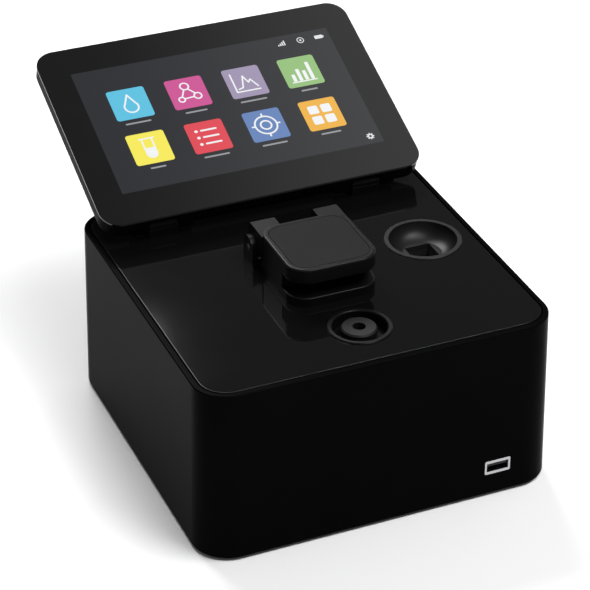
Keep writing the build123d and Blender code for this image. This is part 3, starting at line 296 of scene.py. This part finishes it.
def addRing(bm, inner, outer, height, where, segments, sweep=360):
    # a flat ring, or part of one, spun from a small rectangle
    before = set(bm.verts)
    made = bmesh.ops.create_grid(bm, x_segments=1, y_segments=1, size=0.5)
    upright = Matrix.Translation(((inner + outer) / 2, 0, height / 2)) @ Matrix.Rotation(pi / 2, 4, "X")
    bmesh.ops.scale(bm, vec=(outer - inner, height, 1), verts=made["verts"])
    bmesh.ops.transform(bm, matrix=upright, verts=made["verts"])
    whole = sweep == 360
    face = facesOf(made["verts"])
    start = face + list({e for v in made["verts"] for e in v.link_edges}) + made["verts"]
    bmesh.ops.spin(bm, geom=start, cent=(0, 0, 0), axis=(0, 0, 1), angle=radians(sweep), steps=segments,
                   use_merge=whole)
    if whole:
        bmesh.ops.delete(bm, geom=[f for f in face if f.is_valid], context="FACES_ONLY")
    verts = freshVerts(bm, before)
    bmesh.ops.recalc_face_normals(bm, faces=facesOf(verts))
    bmesh.ops.transform(bm, matrix=where, verts=verts)


def at(x=0.0, y=0.0, z=0.0, turn=0.0):
    return Matrix.Translation((x, y, z)) @ Matrix.Rotation(radians(turn), 4, "Z")


def finishPiece(name, bm, material, body, place=None):
    # from millimetres in its own place to metres in the frame
    bmesh.ops.recalc_face_normals(bm, faces=bm.faces)
    bmesh.ops.transform(bm, matrix=Matrix.Scale(0.001, 4) @ (place or Matrix()), verts=bm.verts)
    mesh = bpy.data.meshes.new(name)
    bm.to_mesh(mesh)
    bm.free()
    mesh.materials.append(material)
    piece = bpy.data.objects.new(name, mesh)
    scene.collection.objects.link(piece)
    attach(piece, body)


# The picture on the display: plain coloured tiles with simple signs, in thin layers on the glass.
# Its places run right and up from the middle of the glass's lower edge.
screenPicture = {
    "edge": (0, 56.75, 113.9), "tilt": 21.8, "width": 155.6, "length": 89.7, "corner": 0.4, "middle": 65.25,
    "layer": 0.03, "tile": 22.2, "tileCorner": 1.6, "columns": (-52.3, -17.9, 16.7, 50.8), "rows": (81.4, 48.1),
    "tiles": {"Cyan": "61c4e4", "Magenta": "cf5797", "Violet": "a296b3", "Green": "97c27d",
              "Yellow": "faed5e", "Red": "e24a55", "Blue": "6785bb", "Orange": "f1b545"},
}
onGlass = Matrix.Translation(screenPicture["edge"]) @ Matrix.Rotation(radians(screenPicture["tilt"]), 4, "X")
thin = screenPicture["layer"]


def litFinish(name, colour):
    # a lit area of the display under the glossy glass, with the faint grid of its pixels drawn at 0.5 mm
    material, tree, shader, place = newMaterial(name, {"Base Color": hexColour("050506"), "Roughness": 0.05,
                                                       "IOR": 1.52, "Emission Strength": 1.0})
    grid = addNode(tree, "ShaderNodeTexNoise", {"Scale": perMetre(0.5), "Detail": 1}, {"Vector": place})
    dim = tuple(c * 0.93 for c in hexColour(colour)[:3]) + (1,)
    glow = addNode(tree, "ShaderNodeMix", {"data_type": "RGBA", 6: dim, 7: hexColour(colour)},
                   {0: grid.outputs["Fac"]})
    tree.links.new(glow.outputs[2], shader.inputs["Emission Color"])
    return material


def onTile(tile, u, v, level, turn=0.0):
    # a place on one of the eight tiles, counted along the rows, on its lower or upper layer
    return at(screenPicture["columns"][tile % 4] + u, screenPicture["rows"][tile // 4] + v, thin * level, turn)


def finishOnScreen(name, bm, finishName, colour):
    finishPiece(name, bm, litFinish(finishName, colour), "screen", onGlass)


bm = bmesh.new()
addPlate(bm, screenPicture["width"], screenPicture["length"], screenPicture["corner"], thin,
         at(0, screenPicture["middle"], 0))
finishOnScreen("displayArea", bm, "displayDarkGrey", "2a2b2f")

for tile, (word, colour) in enumerate(screenPicture["tiles"].items()):
    bm = bmesh.new()
    addPlate(bm, screenPicture["tile"], screenPicture["tile"], screenPicture["tileCorner"], thin,
             onTile(tile, 0, 0, 1))
    finishOnScreen("displayTile" + word, bm, "displayTile" + word, colour)

# White signs on the tiles: drop, linked balls, peak, bars, tube, list, rings, squares. Each row starts
# with its tile's number. Strokes give both ends and a width, rings a middle, two radii, a turn, a sweep
# and steps, plates a middle, two sides and a corner, and discs a middle, a radius and steps.
tileSigns = {
    "strokes": (
        (0, -2.9, 0.5, 0, 6.6, 1.0), (0, 2.9, 0.5, 0, 6.6, 1.0),
        (1, -2.9, -3.9, 2.0, -3.5, 0.9), (1, -4.1, -2.0, -1.9, 2.2, 0.9), (1, 3.6, -0.7, 1.0, 2.4, 0.9),
        (2, -7.0, -6.6, 7.0, -6.6, 0.9), (2, -7.0, -6.6, -7.0, 7.0, 0.9),
        (2, -5.2, -4.6, -2.6, -3.8, 0.9), (2, -2.6, -3.8, -0.2, 4.6, 0.9), (2, -0.2, 4.6, 1.8, -0.6, 0.9),
        (2, 1.8, -0.6, 3.4, 1.4, 0.9), (2, 3.4, 1.4, 6.4, -4.4, 0.9),
        (3, -7.4, -7.4, 7.4, -7.4, 0.8),
        (4, -2.9, -4.0, -2.9, 6.6, 0.9), (4, 2.9, -4.0, 2.9, 6.6, 0.9), (4, -4.2, 6.9, 4.2, 6.9, 0.9),
        (5, -2.6, 4.8, 6.0, 4.8, 1.2), (5, -2.6, 0.0, 6.0, 0.0, 1.2), (5, -2.6, -4.8, 6.0, -4.8, 1.2),
        (6, 6.9, 0, 8.2, 0, 1.0), (6, 0, 6.9, 0, 8.2, 1.0), (6, -6.9, 0, -8.2, 0, 1.0), (6, 0, -6.9, 0, -8.2, 1.0)),
    "rings": (
        (0, 0, -2.4, 3.5, 4.5, 135, 270, 30),
        (1, -5.0, -4.2, 1.3, 2.2, 0, 360, 28), (1, 4.8, -3.2, 1.7, 2.6, 0, 360, 28),
        (1, -0.6, 5.0, 2.0, 2.9, 0, 360, 28),
        (4, 0, -4.0, 2.45, 3.35, 180, 180, 20),
        (6, 0, 0, 5.9, 6.9, 0, 360, 40), (6, 0, 0, 2.6, 3.6, 0, 360, 32)),
    "plates": (
        (3, -5.4, -4.1, 2.1, 5.4, 0.3, 2), (3, -1.8, -2.3, 2.1, 9.0, 0.3, 2), (3, 1.8, -3.2, 2.1, 7.2, 0.3, 2),
        (3, 5.4, -0.3, 2.1, 13.0, 0.3, 2), (4, 0, -2.0, 4.9, 4.4, 0.2, 2),
        (7, -3.9, -3.9, 6.0, 6.0, 1.0, 3), (7, -3.9, 3.9, 6.0, 6.0, 1.0, 3),
        (7, 3.9, -3.9, 6.0, 6.0, 1.0, 3), (7, 3.9, 3.9, 6.0, 6.0, 1.0, 3)),
    "discs": ((4, 0, -4.1, 2.4, 20), (5, -5.6, 4.8, 1.0, 16), (5, -5.6, 0.0, 1.0, 16), (5, -5.6, -4.8, 1.0, 16)),
}
strokeEnd = 0.45  # a stroke's rounded end, as a share of its width
bm = bmesh.new()
for tile, u0, v0, u1, v1, width in tileSigns["strokes"]:
    run = Vector((u1 - u0, v1 - v0))
    turn = run.angle_signed(Vector((1, 0))) * 180 / pi
    middle = onTile(tile, (u0 + u1) / 2, (v0 + v1) / 2, 2, turn)
    addPlate(bm, run.length + width, width, width * strokeEnd, thin, middle, 3)
for tile, u, v, inner, outer, turn, sweep, segments in tileSigns["rings"]:
    addRing(bm, inner, outer, thin, onTile(tile, u, v, 2, turn), segments, sweep)
for tile, u, v, width, length, corner, steps in tileSigns["plates"]:
    addPlate(bm, width, length, corner, thin, onTile(tile, u, v, 2), steps)
for tile, u, v, radius, segments in tileSigns["discs"]:
    addDisc(bm, radius, thin, onTile(tile, u, v, 2), segments)
finishOnScreen("displaySigns", bm, "displayWhite", "f4f6f8")

# a plain bar under each tile where a caption would be
captionBars = {"lengths": (15.0, 13.0, 16.0, 10.0, 9.0, 15.0, 15.0, 12.0), "width": 1.1, "corner": 0.5, "below": 14.2}
bm = bmesh.new()
for tile, length in enumerate(captionBars["lengths"]):
    addPlate(bm, length, captionBars["width"], captionBars["corner"], thin,
             onTile(tile, 0, -captionBars["below"], 1), 3)
finishOnScreen("displayCaptionBars", bm, "displayPaleGrey", "9a9ca0")

# simple status marks: signal steps, a ring with a dot and a battery along the top, a cog at the lower right
statusMarks = {
    "signal": {"left": 45.8, "foot": 102.6, "pitch": 1.25, "lowest": 1.0, "rise": 0.9, "width": 0.8},
    "ring": {"place": (59.6, 104.3), "inner": 1.7, "outer": 2.2, "dot": 0.7},
    "battery": {"place": (71.0, 104.3), "size": (5.0, 2.6), "knob": (73.9, 104.3), "knobSize": (0.6, 1.2)},
    "cog": {"place": (71.5, 25.9), "inner": 0.8, "outer": 1.7, "teeth": 8, "toothAt": 1.95, "tooth": (0.8, 0.7)},
}
bm = bmesh.new()
signal = statusMarks["signal"]
for k in range(4):
    tall = signal["lowest"] + signal["rise"] * k
    addPlate(bm, signal["width"], tall, 0.2, thin,
             at(signal["left"] + signal["pitch"] * k, signal["foot"] + tall / 2, thin), 2)
ring = statusMarks["ring"]
addRing(bm, ring["inner"], ring["outer"], thin, at(*ring["place"], thin), 28)
addDisc(bm, ring["dot"], thin, at(*ring["place"], thin), 16)
battery = statusMarks["battery"]
addPlate(bm, *battery["size"], 0.4, thin, at(*battery["place"], thin), 3)
addPlate(bm, *battery["knobSize"], 0.1, thin, at(*battery["knob"], thin), 2)
cog = statusMarks["cog"]
addRing(bm, cog["inner"], cog["outer"], thin, at(*cog["place"], thin), 28)
for k in range(cog["teeth"]):
    spoke = at(*cog["place"], thin, 360 / cog["teeth"] * k) @ at(cog["toothAt"], 0, 0)
    addPlate(bm, *cog["tooth"], 0.1, thin, spoke, 2)
finishOnScreen("displayStatusMarks", bm, "displayStatusWhite", "e6e8ea")
print("display picture made")


# four gold contacts under the front socket's tongue
socketContacts = {"middle": (64.8, -94.6, 18.1), "pitch": 2.3, "width": 1.1, "length": 6.6, "corner": 0.2,
                  "height": 0.08}
bm = bmesh.new()
for k in range(4):
    x, y, z = socketContacts["middle"]
    addPlate(bm, socketContacts["width"], socketContacts["length"], socketContacts["corner"],
             socketContacts["height"], at(x + (k - 1.5) * socketContacts["pitch"], y, z), 2)
finishPiece("usbContacts", bm, contactGold, "base")

# a standby sign inlaid in the rear button: a ring open at the top with a short bar in the gap
standbySign = {"face": (-62, 100.56, 18), "radius": 2.9, "line": 0.55, "height": 0.08, "gap": 70,
               "bar": 2.6, "barMiddle": -2.2, "corner": 0.2}
onButton = Matrix.Translation(standbySign["face"]) @ Matrix.Rotation(-pi / 2, 4, "X")
bm = bmesh.new()
addRing(bm, standbySign["radius"] - standbySign["line"], standbySign["radius"], standbySign["height"],
        at(turn=-90 + standbySign["gap"] / 2), 30, 360 - standbySign["gap"])
addPlate(bm, standbySign["line"], standbySign["bar"], standbySign["corner"], standbySign["height"],
         at(0, standbySign["barMiddle"], 0), 2)
finishPiece("standbySign", bm, signPaint, "power_button", onButton)
print("socket contacts and button sign made")


# pale studio floor, matt white with a mottle too faint and wide to read as a pattern
stage = {"floorSize": 14.0, "colours": ("f7f7f7", "f8f8f8"), "mottle": 400}
floorMesh = bpy.data.meshes.new("studioFloor")
bm = bmesh.new()
bmesh.ops.create_grid(bm, x_segments=1, y_segments=1, size=stage["floorSize"] / 2)
bm.to_mesh(floorMesh)
bm.free()
floor = bpy.data.objects.new("studioFloor", floorMesh)
scene.collection.objects.link(floor)
floorPaint, tree, shader, place = newMaterial("matWhiteFloor", {"Roughness": 0.9, "Specular IOR Level": 0.1})
mottle = addNode(tree, "ShaderNodeTexNoise", {"Scale": perMetre(stage["mottle"]), "Detail": 2}, {"Vector": place})
tone = addNode(tree, "ShaderNodeMix",
               {"data_type": "RGBA", 6: hexColour(stage["colours"][0]), 7: hexColour(stage["colours"][1])},
               {0: mottle.outputs["Fac"]})
tree.links.new(tone.outputs[2], shader.inputs["Base Color"])
floorMesh.materials.append(floorPaint)

# the room: white at the horizon, dim above, and a soft panel overhead on the right. Levels go by height,
# and the panel fades in between two directions. The camera itself sees plain white.
roomLight = {"levels": ((0.0, 1.0), (0.17, 0.24), (0.30, 0.22), (0.62, 0.13), (0.80, 0.18), (1.0, 0.24)),
             "panelFrom": (0.26, 0.62), "panelTo": (0.40, 0.86), "panelLevel": 0.65}
world = bpy.data.worlds.new("studioRoom")
scene.world = world
world.use_nodes = True
tree = world.node_tree
tree.nodes.clear()
direction = addNode(tree, "ShaderNodeTexCoord").outputs["Generated"]
parts = addNode(tree, "ShaderNodeSeparateXYZ", {}, {"Vector": direction})
room = addNode(tree, "ShaderNodeValToRGB", {}, {"Fac": parts.outputs["Z"]})
stops = room.color_ramp.elements
for position, level in roomLight["levels"]:
    stop = {0.0: stops[0], 1.0: stops[-1]}.get(position) or stops.new(position)
    stop.color = (level, level, level, 1)
panelSide, panelHigh = (
    addNode(tree, "ShaderNodeMapRange",
            {"interpolation_type": "SMOOTHSTEP", "From Min": roomLight["panelFrom"][k],
             "From Max": roomLight["panelTo"][k]}, {"Value": parts.outputs[way]})
    for k, way in enumerate("XZ"))
panel = addNode(tree, "ShaderNodeMath", {"operation": "MULTIPLY"},
                {0: panelSide.outputs["Result"], 1: panelHigh.outputs["Result"]})
light = addNode(tree, "ShaderNodeMath", {"operation": "MULTIPLY_ADD", 1: roomLight["panelLevel"]},
                {0: panel.outputs["Value"], 2: room.outputs["Color"]})
back = addNode(tree, "ShaderNodeBackground", {"Strength": 1.0}, {"Color": light.outputs["Value"]})
white = addNode(tree, "ShaderNodeBackground", {"Color": (1, 1, 1, 1), "Strength": 1.0})
seen = addNode(tree, "ShaderNodeLightPath").outputs["Is Camera Ray"]
either = addNode(tree, "ShaderNodeMixShader", {},
                 {0: seen, 1: back.outputs["Background"], 2: white.outputs["Background"]})
addNode(tree, "ShaderNodeOutputWorld", {}, {"Surface": either.outputs["Shader"]})

# soft lamps over and behind the object, and a narrow strip for glints along the front rims; in metres and watts
lamps = {
    "overheadLamp": {"place": (0.45, -0.55, 2.2), "target": (0, 0, 0.05), "size": (1.2, 1.2), "power": 26},
    "rearLamp": {"place": (0.0, 1.55, 1.65), "target": (0, 0, 0.05), "size": (1.1, 0.8), "power": 42},
    "rimStrip": {"place": (0.72, -0.75, 1.75), "target": (0, 0, 0.10), "size": (1.0, 0.06), "power": 14},
}
for name, lamp in lamps.items():
    data = bpy.data.lights.new(name, "AREA")
    data.shape = "RECTANGLE"
    data.size, data.size_y = lamp["size"]
    data.energy = lamp["power"]
    light = bpy.data.objects.new(name, data)
    aim = Vector(lamp["target"]) - Vector(lamp["place"])
    light.matrix_world = Matrix.Translation(lamp["place"]) @ aim.to_track_quat("-Z", "Y").to_matrix().to_4x4()
    scene.collection.objects.link(light)
print("stage and light set")
